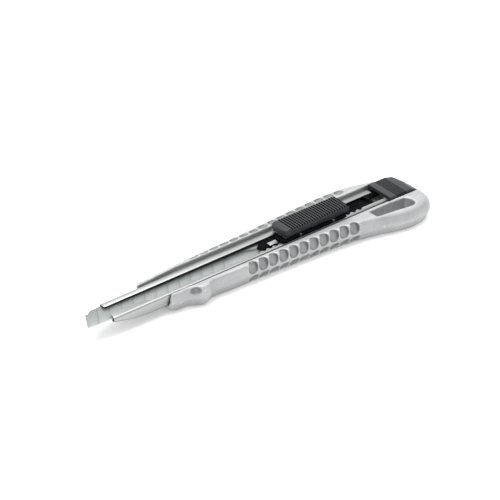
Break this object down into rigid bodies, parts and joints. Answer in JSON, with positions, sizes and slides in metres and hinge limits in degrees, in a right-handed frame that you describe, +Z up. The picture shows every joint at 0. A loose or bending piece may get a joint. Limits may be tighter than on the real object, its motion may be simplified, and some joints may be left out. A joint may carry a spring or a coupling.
{
  "type": "utility knife",
  "caption": "Snap-off utility knife: die-cast handle with finger scoops, steel blade rail, scored blade, ribbed thumb slider and ribbed end cap.",
  "frame": {"origin": "on the flat underside of the handle, below the middle of the blade's width and at mid-length in the picture's pose", "axes": "+X towards the butt of the handle, -X towards the blade tip, +Z up out of the slider side, +Y towards the blade's spine side"},
  "size_m": [0.1506, 0.0292, 0.012],
  "materials": {
    "handle": "matte bead-blasted die casting",
    "blade_rail": "satin stamped stainless sheet",
    "blade": "fine ground carbon steel",
    "blade_carrier": "black moulded plastic",
    "lock_spring": "bright spring steel",
    "slider_cap": "black moulded plastic, ribbed",
    "end_cap": "black moulded plastic, ribbed"
  },
  "bodies": {
    "grip": {"handle": "handle", "blade_rail": "blade_rail"},
    "slider": {"blade": "blade", "blade_carrier": "blade_carrier", "lock_spring": "lock_spring", "slider_cap": "slider_cap"},
    "butt": {"end_cap": "end_cap"}
  },
  "joints": [
    {"name": "blade_slide", "type": "slide", "parent": "grip", "child": "slider", "axis": [-1, 0, 0], "range_m": [-0.0128, 0.05]},
    {"name": "end_cap_pull", "type": "slide", "parent": "grip", "child": "butt", "axis": [1, 0, 0], "range_m": [0, 0.018]}
  ]
}
